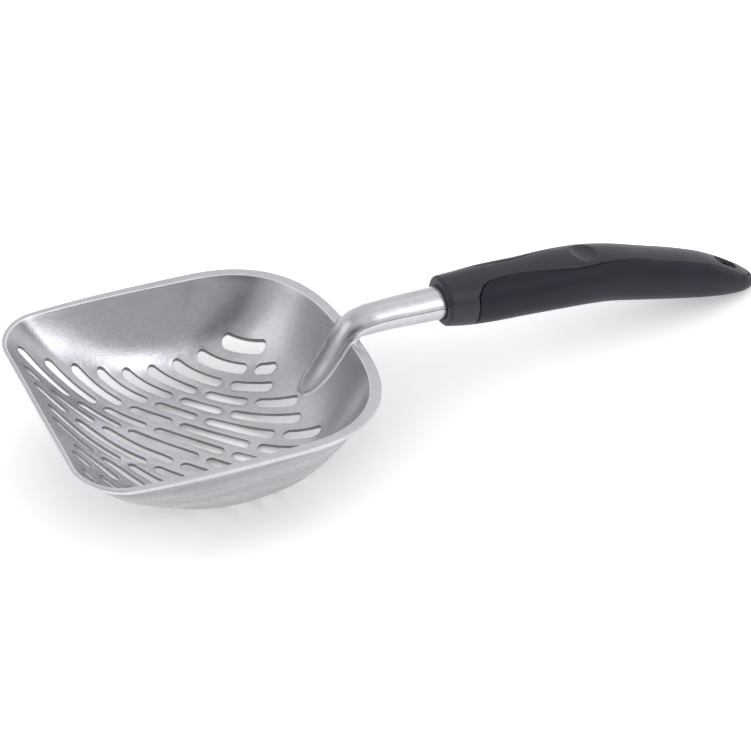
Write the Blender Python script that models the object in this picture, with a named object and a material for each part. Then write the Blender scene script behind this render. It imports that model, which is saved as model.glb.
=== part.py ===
"""Cast sifting scoop: a slotted bowl, its shank and tang in one casting, and a two-piece grip.

The shapes are laid out in the scoop's own frame, in metres: x runs from the front lip to the tail,
y across, and z up, with the top of the rim at z = 0. place_at_rest then turns the whole scoop onto the
table, where it lies on the flat under the bowl and on the tail of the grip.
"""

import math

import bmesh
import bpy
import numpy as np
from mathutils import Matrix, Vector

MM = 0.001

# Rim, seen from above
RIM_LENGTH = 148.0
RIM_HALF_WIDTH = 65.0
WIDEST_AT = 91.6
FRONT_NARROWING = 5.9
NARROWING_POWER = 3.1
BACK_POWER_ALONG = 2.42
BACK_POWER_ACROSS = 2.87
LIP_CORNER_RADIUS = 19.0
LIP_CORNER_STEPS = 7
LIP_STEPS = 4
SIDE_STATIONS = (26.0, 34.0, 44.0, 56.0, 69.0, 80.0)
BACK_STEPS = 13
FLANGE_AT_LIP = 1.6
FLANGE_AT_SIDE = 4.15
FLANGE_AT_BACK = 4.8
FLANGE_THICKNESS = 2.2
FLANGE_CHAMFER = 0.5
FLANGE_GROWTH = 0.7
# The narrow flange at the lip is thinner, and no deeper than these shares of its own width
LIP_CHAMFER_SHARE = 0.3
LIP_THICKNESS_SHARE = 0.9

# Bowl
BOWL_CENTRE = 66.8
BOWL_DEPTH = 39.7
DEPTH_GAIN = 0.002
WALL = 2.1
# Near the rim the wall is no thicker than this share of the flange, from this far up the bowl
WALL_FLANGE_SHARE = 0.8
WALL_TAPER_FROM = 0.7
WALL_UNDER_FLANGE = 0.2
# How full the bowl's profile is towards the back, then every 45 degrees round to the lip
FULLNESS = (3.35, 5.0, 8.05, 3.1, 2.6)
RINGS = (0.2, 0.4, 0.55, 0.66, 0.75, 0.82, 0.88, 0.93, 0.97, 1.0)

# Slots
SLOT_WIDTH = 4.85
SLOT_PITCH = 12.2
SLOT_SLANT = 1.03
FIRST_LINE_AT = 21.5
SLOT_ROWS = ((47.8, 31.0), (28.2, 14.2), (11.45, -11.45), (-14.2, -28.2), (-31.0, -47.8))
SLOT_LINES = range(-5, 13)
FIELD_FRONT = 8.0
FIELD_BACK = 121.5
SHORTEST_SLOT = 8.0
SLOT_END_STEPS = 5
CUTTER_BELOW = 20.0
CUTTER_TOP = -1.0

# Shank: x, height of its centre, half width, half height above the centre, half height below it
SHANK = (
    (124.2, -27.0, 2.4, 1.0, 0.6),
    (126.5, -24.6, 4.6, 2.0, 0.8),
    (131.5, -18.8, 6.7, 3.6, 1.0),
    (137.0, -11.0, 7.2, 4.6, 1.2),
    (142.0, -2.6, 7.3, 5.6, 2.0),
    (147.0, 3.0, 7.3, 6.6, 4.6),
    (153.0, 5.0, 7.3, 7.0, 6.8),
    (162.0, 5.6, 7.4, 7.2, 7.2),
    (178.0, 5.4, 7.9, 7.7, 7.6),
    (196.5, 5.0, 8.1, 7.9, 7.9),
)
SHANK_STEP_ANGLE = 18.0
SHANK_LOWER_SCALE = 0.95
SHANK_SIDES = 24
SHANK_PLACES = (124.2, 126.5, 129.0, 131.5, 134.5, 137.0, 139.5, 142.0, 144.5, 147.0, 150.0, 154.0, 162.0,
                178.0, 196.5)

# Grip: x, height of its centre, half width, half height
GRIP = (
    (189.5, 6.0, 9.6, 9.5),
    (191.0, 6.0, 10.9, 10.8),
    (198.5, 5.2, 12.0, 12.0),
    (212.0, 4.6, 13.0, 12.8),
    (233.0, 3.7, 13.5, 13.0),
    (255.0, 2.9, 14.1, 13.4),
    (267.0, 1.9, 14.1, 13.3),
    (279.0, 0.0, 13.7, 12.9),
    (301.0, -5.6, 13.3, 12.1),
    (325.5, -12.2, 12.7, 11.1),
    (338.0, -15.9, 12.1, 10.1),
    (348.0, -19.3, 11.0, 8.7),
    (356.0, -22.0, 9.6, 7.1),
    (363.5, -24.4, 7.7, 5.3),
    (368.5, -25.9, 5.2, 3.3),
    (371.6, -26.9, 2.2, 1.4),
)
GRIP_SIDES = 28
GRIP_PLACES = (189.5, 191.0, 194.5, 202.0, 210.0, 222.0, 233.0, 244.0, 255.0, 264.0, 273.0, 282.0, 291.0,
               301.0, 313.0, 325.5, 333.0, 341.0, 348.0, 354.0, 359.0, 363.5, 367.0, 369.8, 371.6)
GRIP_SQUARENESS = 2.25
COLLAR_BACK = 206.5
SEAM_GAP = 0.3
# Spine of the upper shell: x, half width, height of its underside above the grip's centre
SPINE = (
    (204.0, 11.4, 4.6),
    (207.5, 9.6, 4.6),
    (209.5, 7.6, 4.6),
    (213.0, 6.0, 4.6),
    (218.0, 5.1, 4.6),
    (228.0, 4.7, 4.6),
    (244.0, 6.8, 4.6),
    (258.0, 8.4, 4.6),
    (277.0, 7.1, 4.6),
    (290.0, 6.0, 4.6),
    (311.0, 6.1, 4.6),
    (330.0, 5.9, 4.6),
    (339.0, 6.0, 2.4),
    (352.0, 6.0, 0.6),
    (361.0, 5.2, 0.4),
    (366.0, 3.0, 0.4),
)
SPINE_TOP = 30.0
# A block round the collar, clear of the grip on every side
COLLAR_BLOCK_FRONT = 180.0
COLLAR_BLOCK_HALF_WIDTH = 30.0
COLLAR_BLOCK_LOW = -30.0
COLLAR_BLOCK_HIGH = 40.0

# Tang inside the grip
TANG_HALF_WIDTH = 5.5
TANG_HALF_HEIGHT = 3.5
TANG_START = 194.0
TANG_END = 336.0
TANG_STATIONS = (233.0, 255.0, 267.0, 279.0, 301.0, 325.5)
TANG_GAP = 0.3
# Its section as shares of the half width and half height: a bar with cut corners
TANG_CORNERS = ((-0.7, 1.0), (0.7, 1.0), (1.0, 0.6), (1.0, -0.6), (0.7, -1.0), (-0.7, -1.0), (-1.0, -0.6),
                (-1.0, 0.6))
CHANNEL_START = 195.5
CHANNEL_PAST_TANG = 0.6
SOCKET_START = 186.0
SOCKET_END = 197.3
SOCKET_GAP = 0.3

# Hang hole and thumb rest
HANG_HOLE_AT = 352.0
HANG_HOLE_LENGTH = 13.4
HANG_HOLE_WIDTH = 7.0
HANG_HOLE_STEPS = 8
HANG_CUTTER_LOW = -60.0
HANG_CUTTER_HIGH = 20.0
THUMB_AT = 267.5
THUMB_HALF_LENGTH = 13.9
THUMB_HALF_WIDTH = 22.4
THUMB_HALF_HEIGHT = 9.6
THUMB_LIFT = 8.0
THUMB_SEGMENTS = 40
THUMB_RINGS = 24

# Rest on the table
REST_TILT = math.radians(2.72)
FLOOR_DEPTH = 46.62

SHARP_EDGE = math.radians(35.0)


def clear_scene():
    for obj in list(bpy.data.objects):
        bpy.data.objects.remove(obj, do_unlink=True)


def material(name, colour, roughness, metallic):
    made = bpy.data.materials.new(name)
    made.use_nodes = True
    shader = made.node_tree.nodes["Principled BSDF"]
    shader.inputs["Base Color"].default_value = (*colour, 1.0)
    shader.inputs["Roughness"].default_value = roughness
    shader.inputs["Metallic"].default_value = metallic
    return made


def cast_aluminium():
    return material("cast_aluminium", (0.72, 0.72, 0.73), 0.34, 1.0)


def hard_plastic():
    return material("hard_plastic", (0.035, 0.036, 0.042), 0.38, 0.0)


def soft_plastic():
    return material("soft_plastic", (0.028, 0.029, 0.033), 0.52, 0.0)


def mesh_object(name, points, faces, finish=None):
    mesh = bpy.data.meshes.new(name)
    mesh.from_pydata([tuple(MM * value for value in point) for point in points], [], faces)
    shape = bmesh.new()
    shape.from_mesh(mesh)
    bmesh.ops.recalc_face_normals(shape, faces=shape.faces)
    shape.to_mesh(mesh)
    shape.free()
    obj = bpy.data.objects.new(name, mesh)
    bpy.context.collection.objects.link(obj)
    if finish is not None:
        mesh.materials.append(finish)
    return obj


def boolean(target, other, operation):
    """Apply one exact Boolean and drop the second object."""
    modifier = target.modifiers.new("boolean", "BOOLEAN")
    modifier.operation = operation
    modifier.solver = "EXACT"
    modifier.object = other
    bpy.context.view_layer.objects.active = target
    bpy.ops.object.modifier_apply(modifier=modifier.name)
    bpy.data.objects.remove(other, do_unlink=True)


def ring_body(name, rings, finish=None):
    """A closed body through rings of points that all have the same number of points."""
    count = len(rings[0])
    points = [point for ring in rings for point in ring]
    faces = []
    for i in range(len(rings) - 1):
        for j in range(count):
            k = (j + 1) % count
            faces.append((i * count + j, i * count + k, (i + 1) * count + k, (i + 1) * count + j))
    faces.append(tuple(range(count))[::-1])
    last = (len(rings) - 1) * count
    faces.append(tuple(range(last, last + count)))
    return mesh_object(name, points, faces, finish)


def prism(name, outline, low, high):
    """A plan outline drawn up from one height to another."""
    return ring_body(name, [[(x, y, low) for x, y in outline], [(x, y, high) for x, y in outline]])


# Bowl


def rim_outline():
    """Half of the rim from the middle of the lip to the middle of the back, as (outer, inner) pairs."""
    pairs = []
    lip_half = side_half_width(0.0) - LIP_CORNER_RADIUS
    for step in range(LIP_STEPS):
        y = lip_half * step / LIP_STEPS
        pairs.append(((0.0, y), (FLANGE_AT_LIP, y)))
    for step in range(LIP_CORNER_STEPS):
        turn = math.radians(90.0 * step / LIP_CORNER_STEPS)
        x = LIP_CORNER_RADIUS * (1.0 - math.cos(turn))
        drop = LIP_CORNER_RADIUS * (1.0 - math.sin(turn))
        outer = (x, side_half_width(x) - drop)
        width = flange_width(x)
        inner = (outer[0] + width * math.cos(turn), outer[1] - width * math.sin(turn))
        pairs.append((outer, inner))
    for x in SIDE_STATIONS:
        y = side_half_width(x)
        pairs.append(((x, y), (x, y - flange_width(x))))
    for step in range(BACK_STEPS + 1):
        turn = math.radians(90.0 * step / BACK_STEPS)
        pairs.append((back_point(turn, 0.0, 0.0), back_point(turn, FLANGE_AT_SIDE, FLANGE_AT_BACK)))
    return pairs


def flange_width(x):
    return FLANGE_AT_LIP + (FLANGE_AT_SIDE - FLANGE_AT_LIP) * (x / WIDEST_AT) ** FLANGE_GROWTH


def side_half_width(x):
    ahead = max(0.0, (WIDEST_AT - x) / WIDEST_AT)
    return RIM_HALF_WIDTH - FRONT_NARROWING * ahead ** NARROWING_POWER


def back_point(turn, inset_side, inset_back):
    """A point on the rounded back, a superellipse, from its side (0) to its middle (a right angle)."""
    along = (RIM_LENGTH - inset_back - WIDEST_AT) * math.sin(turn) ** (2.0 / BACK_POWER_ALONG)
    across = (RIM_HALF_WIDTH - inset_side) * max(0.0, math.cos(turn)) ** (2.0 / BACK_POWER_ACROSS)
    if turn > math.radians(89.9):
        across = 0.0
    return (WIDEST_AT + along, across)


def fullness_waves():
    """The cosine series that passes through the five given values of fullness."""
    angles = np.radians(45.0 * np.arange(len(FULLNESS)))
    return np.linalg.solve(np.cos(np.outer(angles, np.arange(len(FULLNESS)))), np.array(FULLNESS))


def fullness(x, y):
    """The exponent of the bowl's profile in the direction of this point from the bowl's centre."""
    angle = math.atan2(y, x - BOWL_CENTRE)
    return float(sum(wave * math.cos(k * angle) for k, wave in enumerate(fullness_waves())))


def bowl_point(rim, share):
    """The inner surface at this share of the way from the bowl's centre to the inner rim point."""
    x = BOWL_CENTRE + share * (rim[0] - BOWL_CENTRE)
    y = share * rim[1]
    depth = BOWL_DEPTH * (1.0 + DEPTH_GAIN * (x - BOWL_CENTRE))
    return Vector((x, y, -depth * (1.0 - share ** fullness(rim[0], rim[1]))))


def bowl_normal(rims, index, share):
    """The direction out of the bowl, square to its inner surface."""
    before = rims[index - 1]
    after = rims[(index + 1) % len(rims)]
    round_it = bowl_point(after, share) - bowl_point(before, share)
    outwards = bowl_point(rims[index], share + 0.002) - bowl_point(rims[index], share - 0.002)
    normal = round_it.cross(outwards).normalized()
    return -normal if normal.z > 0.0 else normal


def underside_height(x):
    """The height of the table under the scoop at rest, in the scoop's own frame."""
    return (-FLOOR_DEPTH + x * math.sin(REST_TILT)) / math.cos(REST_TILT)


def bowl_body(finish):
    half = rim_outline()
    mirrored = [((outer[0], -outer[1]), (inner[0], -inner[1])) for outer, inner in half[1:-1]]
    loop = half + mirrored[::-1]
    outers = [pair[0] for pair in loop]
    rims = [pair[1] for pair in loop]
    count = len(loop)
    inside = [[tuple(bowl_point(rim, share)) for rim in rims] for share in RINGS]
    top = []
    edge_high = []
    edge_low = []
    outside = [[] for _ in RINGS]
    for index in range(count):
        rim = Vector(rims[index])
        outer = Vector(outers[index])
        width = (outer - rim).length
        chamfer = min(FLANGE_CHAMFER, LIP_CHAMFER_SHARE * width)
        thickness = min(FLANGE_THICKNESS, LIP_THICKNESS_SHARE * width)
        inner_end = outer + (rim - outer).normalized() * chamfer
        top.append((inner_end.x, inner_end.y, 0.0))
        edge_high.append((outer.x, outer.y, -chamfer))
        edge_low.append((outer.x, outer.y, -thickness))
        power = fullness(rim.x, rim.y)
        last = (1.0 - (thickness + WALL_UNDER_FLANGE) / BOWL_DEPTH) ** (1.0 / power)
        for ring, share in enumerate(RINGS):
            at = share * last
            taper = max(0.0, (share - WALL_TAPER_FROM) / (1.0 - WALL_TAPER_FROM))
            wall = WALL + (min(WALL, WALL_FLANGE_SHARE * width) - WALL) * taper
            point = bowl_point(rim, at) + wall * bowl_normal(rims, index, at)
            floor = underside_height(point.x)
            outside[ring].append((point.x, point.y, max(point.z, floor)))
    rings = inside + [top, edge_high, edge_low] + outside[::-1]
    points = [point for ring in rings for point in ring]
    faces = []
    for i in range(len(rings) - 1):
        for j in range(count):
            k = (j + 1) % count
            faces.append((i * count + j, i * count + k, (i + 1) * count + k, (i + 1) * count + j))
    inner_pole = len(points)
    points.append((BOWL_CENTRE, 0.0, -BOWL_DEPTH))
    outer_pole = len(points)
    points.append((BOWL_CENTRE, 0.0, max(-BOWL_DEPTH - WALL, underside_height(BOWL_CENTRE))))
    last = (len(rings) - 1) * count
    for j in range(count):
        k = (j + 1) % count
        faces.append((j, k, inner_pole))
        faces.append((last + j, last + k, outer_pole))
    return mesh_object("scoop_casting", points, faces, finish)


# Slots


def slot_outline(start, end, width, steps):
    """A slot with round ends, whose tips are at the two points."""
    along = (Vector(end) - Vector(start)).normalized()
    side = Vector((-along.y, along.x))
    radius = width / 2.0
    first = Vector(start) + along * radius
    second = Vector(end) - along * radius
    outline = []
    for centre, facing in ((first, -1.0), (second, 1.0)):
        for step in range(steps + 1):
            turn = math.pi * step / steps
            point = centre + facing * radius * (math.sin(turn) * along + math.cos(turn) * -side)
            outline.append((point.x, point.y))
    return outline


def slot_ends():
    """The tips of every slot: the lines of the field, cut by its rows and by its front and back limits."""
    ends = []
    for far, near in SLOT_ROWS:
        for line in SLOT_LINES:
            crossing = FIRST_LINE_AT + line * SLOT_PITCH
            start = crossing - far * SLOT_SLANT
            end = crossing - near * SLOT_SLANT
            first = max(start, FIELD_FRONT)
            last = min(end, FIELD_BACK)
            length = (last - first) * math.hypot(1.0, 1.0 / SLOT_SLANT)
            if length < SHORTEST_SLOT:
                continue
            ends.append(((first, (crossing - first) / SLOT_SLANT), (last, (crossing - last) / SLOT_SLANT)))
    return ends


def cut_slots(casting):
    points = []
    faces = []
    for start, end in slot_ends():
        outline = slot_outline(start, end, SLOT_WIDTH, SLOT_END_STEPS)
        count = len(outline)
        base = len(points)
        points += [(x, y, -BOWL_DEPTH - CUTTER_BELOW) for x, y in outline]
        points += [(x, y, CUTTER_TOP) for x, y in outline]
        for j in range(count):
            k = (j + 1) % count
            faces.append((base + j, base + k, base + count + k, base + count + j))
        faces.append(tuple(range(base, base + count))[::-1])
        faces.append(tuple(range(base + count, base + 2 * count)))
    boolean(casting, mesh_object("slot_cutter", points, faces), "DIFFERENCE")


# Shank and grip


def smooth_row(rows, x):
    """The row of a station table at x, by a cubic through the stations that keeps their slopes modest."""
    table = np.array(rows)
    places = table[:, 0]
    index = int(np.clip(np.searchsorted(places, x) - 1, 0, len(places) - 2))
    span = places[index + 1] - places[index]
    part = (x - places[index]) / span
    slopes = np.gradient(table, places, axis=0)
    start = table[index]
    end = table[index + 1]
    bend = part * part * (3.0 - 2.0 * part)
    enter = part * (1.0 - part) ** 2
    leave = part * part * (1.0 - part)
    return start + (end - start) * bend + span * (slopes[index] * enter - slopes[index + 1] * leave)


def section_frame(rows, x):
    """The centre of a station table's path at x and the direction square to it in the x-z plane."""
    step = 0.5
    low = max(rows[0][0], x - step)
    high = min(rows[-1][0], x + step)
    rise = smooth_row(rows, high)[1] - smooth_row(rows, low)[1]
    path = Vector((high - low, 0.0, rise)).normalized()
    return Vector((-path.z, 0.0, path.x))


def shank_section(row):
    """A rounded section with a small ledge on each side, where its upper and lower halves meet."""
    x, height, half_width, above, below = row
    up = section_frame(SHANK, x)
    points = []
    for side in range(SHANK_SIDES):
        angle = 360.0 * (side + 0.5) / SHANK_SIDES
        turn = math.radians(angle)
        lower = angle > 180.0 - SHANK_STEP_ANGLE and angle < 360.0 or angle < SHANK_STEP_ANGLE
        scale = SHANK_LOWER_SCALE if lower else 1.0
        lift = math.sin(turn) * (above if math.sin(turn) > 0.0 else below) * scale
        centre = Vector((x, 0.0, height)) + up * lift
        points.append((centre.x, half_width * scale * math.cos(turn), centre.z))
    return points


def shank_body():
    return ring_body("shank", [shank_section(smooth_row(SHANK, x)) for x in SHANK_PLACES])


def tang_body(gap, start, end):
    """The flat bar inside the grip, or its channel when a gap is added all round."""
    places = [start, *TANG_STATIONS, end]
    half_width = TANG_HALF_WIDTH + gap
    half_height = TANG_HALF_HEIGHT + gap
    rings = []
    for x in places:
        row = smooth_row(GRIP, x)
        up = section_frame(GRIP, x)
        ring = []
        for across, lift in TANG_CORNERS:
            centre = Vector((x, 0.0, row[1])) + up * half_height * lift
            ring.append((centre.x, half_width * across, centre.z))
        rings.append(ring)
    return ring_body("tang", rings)


def grip_section(row):
    x, height, half_width, half_height = row
    up = section_frame(GRIP, x)
    points = []
    for side in range(GRIP_SIDES):
        turn = 2.0 * math.pi * (side + 0.5) / GRIP_SIDES
        power = 2.0 / GRIP_SQUARENESS
        across = math.copysign(abs(math.cos(turn)) ** power, math.cos(turn))
        lift = math.copysign(abs(math.sin(turn)) ** power, math.sin(turn))
        centre = Vector((x, 0.0, height)) + up * half_height * lift
        points.append((centre.x, half_width * across, centre.z))
    return points


def grip_body(name, finish):
    return ring_body(name, [grip_section(smooth_row(GRIP, x)) for x in GRIP_PLACES], finish)


def spine_body(gap):
    """The region of the upper shell: all of the collar, and a strip along the top as far as the tail."""
    rings = []
    for x, half_width, lift in SPINE:
        if x == SPINE[-1][0]:
            x += gap
        base = smooth_row(GRIP, x)[1]
        wide = half_width + gap
        low = base + lift - gap
        high = base + SPINE_TOP
        rings.append([(x, -wide, low), (x, wide, low), (x, wide, high), (x, -wide, high)])
    strip = ring_body("spine", rings)
    back = COLLAR_BACK + gap
    side = COLLAR_BLOCK_HALF_WIDTH
    front = COLLAR_BLOCK_FRONT
    plan = [(front, -side), (back, -side), (back, side), (front, side)]
    collar = prism("collar", plan, COLLAR_BLOCK_LOW, COLLAR_BLOCK_HIGH)
    boolean(strip, collar, "UNION")
    return strip


def cut_inner_channels(piece):
    boolean(piece, tang_body(TANG_GAP, CHANNEL_START, TANG_END + CHANNEL_PAST_TANG), "DIFFERENCE")
    rings = []
    for x in (SOCKET_START, SOCKET_END):
        row = smooth_row(SHANK, min(x, SHANK[-1][0]))
        row = (x, row[1], row[2] + SOCKET_GAP, row[3] + SOCKET_GAP, row[4] + SOCKET_GAP)
        ring = []
        for side in range(SHANK_SIDES):
            turn = 2.0 * math.pi * (side + 0.5) / SHANK_SIDES
            ring.append((x, row[2] * math.cos(turn), row[1] + row[3] * math.sin(turn)))
        rings.append(ring)
    boolean(piece, ring_body("socket", rings), "DIFFERENCE")


def cut_hang_hole(piece):
    start = (HANG_HOLE_AT - HANG_HOLE_LENGTH / 2.0, 0.0)
    end = (HANG_HOLE_AT + HANG_HOLE_LENGTH / 2.0, 0.0)
    outline = slot_outline(start, end, HANG_HOLE_WIDTH, HANG_HOLE_STEPS)
    boolean(piece, prism("hang_hole", outline, HANG_CUTTER_LOW, HANG_CUTTER_HIGH), "DIFFERENCE")


def cut_thumb_rest(piece):
    row = smooth_row(GRIP, THUMB_AT)
    up = section_frame(GRIP, THUMB_AT)
    centre = Vector((THUMB_AT, 0.0, row[1])) + up * (row[3] + THUMB_LIFT)
    bpy.ops.mesh.primitive_uv_sphere_add(segments=THUMB_SEGMENTS, ring_count=THUMB_RINGS, radius=1.0)
    dish = bpy.context.active_object
    size = Matrix.Diagonal((THUMB_HALF_LENGTH * MM, THUMB_HALF_WIDTH * MM, THUMB_HALF_HEIGHT * MM, 1.0))
    tilt = Matrix.Rotation(math.atan2(up.x, up.z), 4, "Y")
    dish.data.transform(Matrix.Translation(centre * MM) @ tilt @ size)
    boolean(piece, dish, "DIFFERENCE")


def make_casting():
    casting = bowl_body(cast_aluminium())
    boolean(casting, shank_body(), "UNION")
    boolean(casting, tang_body(0.0, TANG_START, TANG_END), "UNION")
    cut_slots(casting)
    return casting


def make_grip_shell():
    shell = grip_body("grip_upper_shell", hard_plastic())
    boolean(shell, spine_body(0.0), "INTERSECT")
    cut_inner_channels(shell)
    cut_hang_hole(shell)
    cut_thumb_rest(shell)
    return shell


def make_grip_sleeve():
    sleeve = grip_body("grip_lower_sleeve", soft_plastic())
    boolean(sleeve, spine_body(SEAM_GAP), "DIFFERENCE")
    cut_inner_channels(sleeve)
    cut_hang_hole(sleeve)
    return sleeve


def finish_shading(obj):
    bpy.ops.object.select_all(action="DESELECT")
    obj.select_set(True)
    bpy.context.view_layer.objects.active = obj
    bpy.ops.object.shade_smooth()
    obj.data.set_sharp_from_angle(angle=SHARP_EDGE)


def place_at_rest(pieces):
    """Turn the scoop onto the table and put the middle of its footprint box at the origin."""
    tilt = Matrix.Rotation(REST_TILT, 4, "Y")
    for piece in pieces:
        piece.data.transform(tilt)
    points = np.array([vertex.co for piece in pieces for vertex in piece.data.vertices])
    low = points.min(axis=0)
    high = points.max(axis=0)
    shift = Matrix.Translation(Vector((-(low[0] + high[0]) / 2.0, -(low[1] + high[1]) / 2.0, -low[2])))
    for piece in pieces:
        piece.data.transform(shift)


def main():
    clear_scene()
    pieces = [make_casting(), make_grip_shell(), make_grip_sleeve()]
    place_at_rest(pieces)
    for piece in pieces:
        finish_shading(piece)


main()
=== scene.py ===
"""Looks of the sifting scoop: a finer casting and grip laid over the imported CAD, materials, light and camera.

The shapes are laid out in the scoop's own frame in millimetres, as in part.py: x from lip to tail, y across,
z up, top of the rim at z = 0. to_world turns them onto the table in metres.
"""

import math

import bmesh
import bpy
import numpy as np
from mathutils import Matrix, Vector
from mathutils.bvhtree import BVHTree
from mathutils.geometry import delaunay_2d_cdt

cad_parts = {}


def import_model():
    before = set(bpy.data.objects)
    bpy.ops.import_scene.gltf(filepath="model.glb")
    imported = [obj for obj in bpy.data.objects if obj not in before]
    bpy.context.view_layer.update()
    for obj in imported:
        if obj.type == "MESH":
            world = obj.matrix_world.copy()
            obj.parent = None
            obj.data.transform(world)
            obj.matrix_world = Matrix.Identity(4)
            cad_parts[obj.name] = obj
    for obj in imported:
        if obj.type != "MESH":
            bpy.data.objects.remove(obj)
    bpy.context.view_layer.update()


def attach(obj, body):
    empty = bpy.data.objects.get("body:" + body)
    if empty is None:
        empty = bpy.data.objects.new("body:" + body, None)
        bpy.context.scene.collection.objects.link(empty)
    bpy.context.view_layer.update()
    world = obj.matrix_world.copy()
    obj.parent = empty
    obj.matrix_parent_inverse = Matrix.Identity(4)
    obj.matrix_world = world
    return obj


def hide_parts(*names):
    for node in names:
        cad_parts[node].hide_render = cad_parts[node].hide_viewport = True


MM = 0.001

# Rim, seen from above
RIM_LENGTH = 148.0
RIM_HALF_WIDTH = 65.0
WIDEST_AT = 91.6
FRONT_NARROWING = 5.9
NARROWING_POWER = 3.1
BACK_POWER_ALONG = 2.42
BACK_POWER_ACROSS = 2.87
LIP_CORNER_RADIUS = 19.0
FLANGE_AT_LIP = 1.6
FLANGE_AT_SIDE = 4.15
FLANGE_AT_BACK = 4.8
FLANGE_GROWTH = 0.7
FLANGE_THICKNESS = 2.2
LIP_THICKNESS_SHARE = 0.9
LIP_SAMPLES = 300
SIDE_SAMPLES = 600
BACK_SAMPLES = 4000

# Bowl
BOWL_CENTRE = 66.8
BOWL_DEPTH = 39.7
DEPTH_GAIN = 0.002
WALL = 2.1
WALL_FLANGE_SHARE = 0.8
WALL_TAPER_FROM = 0.7
FULLNESS = (3.35, 5.0, 8.05, 3.1, 2.6)
# The underside point lies straight below its place up to LOW_SLOPE, and turns square to the wall over
# SLOPE_TO_SQUARE more
LOW_SLOPE = 1.7
SLOPE_TO_SQUARE = 1.6
UNDER_PASSES = 40
SLOPE_STEP = 0.01
TABLE_ANGLES = 241
TABLE_SHARES = 201

# Slots
SLOT_WIDTH = 4.85
SLOT_PITCH = 12.2
SLOT_SLANT = 1.03
FIRST_LINE_AT = 21.5
SLOT_ROWS = ((47.8, 31.0), (28.2, 14.2), (11.45, -11.45), (-14.2, -28.2), (-31.0, -47.8))
SLOT_LINES = range(-5, 13)
FIELD_FRONT = 8.0
FIELD_BACK = 121.5
SHORTEST_SLOT = 8.0
SLOT_STEP = 1.15
SLOT_END_POINTS = 13

# Shank: x, height of its centre, half width, half height above the centre, half height below it
SHANK = (
    (124.2, -27.0, 2.4, 1.0, 0.6),
    (126.5, -24.6, 4.6, 2.0, 0.8),
    (131.5, -18.8, 6.7, 3.6, 1.0),
    (137.0, -11.0, 7.2, 4.6, 1.2),
    (142.0, -2.6, 7.3, 5.6, 2.0),
    (147.0, 3.0, 7.3, 6.6, 4.6),
    (153.0, 5.0, 7.3, 7.0, 6.8),
    (162.0, 5.6, 7.4, 7.2, 7.2),
    (178.0, 5.4, 7.9, 7.7, 7.6),
    (196.5, 5.0, 8.1, 7.9, 7.9),
)
SHANK_BEND_END = 150.0
SHANK_BEND_PLACES = 60
SHANK_STRAIGHT_PLACES = 46
# Cast ledge along the shank: its angle above the side, the smaller section below it, and the groove at
# its foot
SHANK_STEP_ANGLE = 18.0
SHANK_LOWER_SCALE = 0.955
SHANK_GROOVE = 0.045
# Places across the ledge in degrees below it
LEDGE_POINTS = (-1.6, -0.8, 0.0, 0.8, 1.6, 2.4, 3.2, 4.0, 5.0, 6.0)
LEDGE_MIDDLE = 2.2
LEDGE_REACH = 5.0
LEDGE_RISE = (-0.4, 1.2)
GROOVE_MIDDLE = 1.9
GROOVE_REACH = 2.2
CREASE_SPAN = (-0.5, 3.6)

# Grip: x, height of its centre, half width, half height
GRIP = (
    (189.5, 6.0, 11.3, 11.2),
    (198.5, 5.2, 12.0, 12.0),
    (212.0, 4.6, 13.0, 12.8),
    (233.0, 3.7, 13.5, 13.0),
    (255.0, 2.9, 14.1, 13.4),
    (267.0, 1.9, 14.1, 13.3),
    (279.0, 0.0, 13.7, 12.9),
    (301.0, -5.6, 13.3, 12.1),
    (325.5, -12.2, 12.7, 11.1),
    (338.0, -15.9, 12.1, 10.1),
    (348.0, -19.3, 11.0, 8.7),
    (356.0, -22.0, 9.6, 7.1),
    (363.5, -24.4, 7.7, 5.3),
    (368.5, -25.9, 5.2, 3.3),
    (371.6, -26.9, 2.2, 1.4),
)
GRIP_SQUARENESS = 2.25
GRIP_BODY_SPAN = (192.0, 360.0, 150)
GRIP_TAIL_SPAN = (360.8, 371.6, 22)
COLLAR_EDGE = 1.5
COLLAR_EDGE_RINGS = 9
COLLAR_LEAN = 2.6
COLLAR_LEAN_REACH = 14.0
COLLAR_FRONT = 180.0
COLLAR_BACK = 204.8
COLLAR_BLOCK = (-30.0, 40.0, 30.0)
SEAM_GAP = 0.75
# Spine of the upper shell: x, half width, height of its underside above the grip's centre
SPINE = (
    (202.3, 11.4, 4.6),
    (205.8, 9.6, 4.6),
    (207.8, 7.6, 4.6),
    (211.3, 6.0, 4.6),
    (217.0, 5.1, 4.6),
    (228.0, 4.7, 4.6),
    (244.0, 6.8, 4.6),
    (258.0, 8.4, 4.6),
    (277.0, 7.1, 4.6),
    (290.0, 6.0, 4.6),
    (311.0, 6.1, 4.6),
    (330.0, 5.9, 4.6),
    (339.0, 6.0, 2.4),
    (352.0, 6.0, 0.6),
    (361.0, 5.2, 0.4),
    (366.0, 3.0, 0.4),
)
SPINE_TOP = 30.0
SPINE_PLACES = 90

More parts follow.
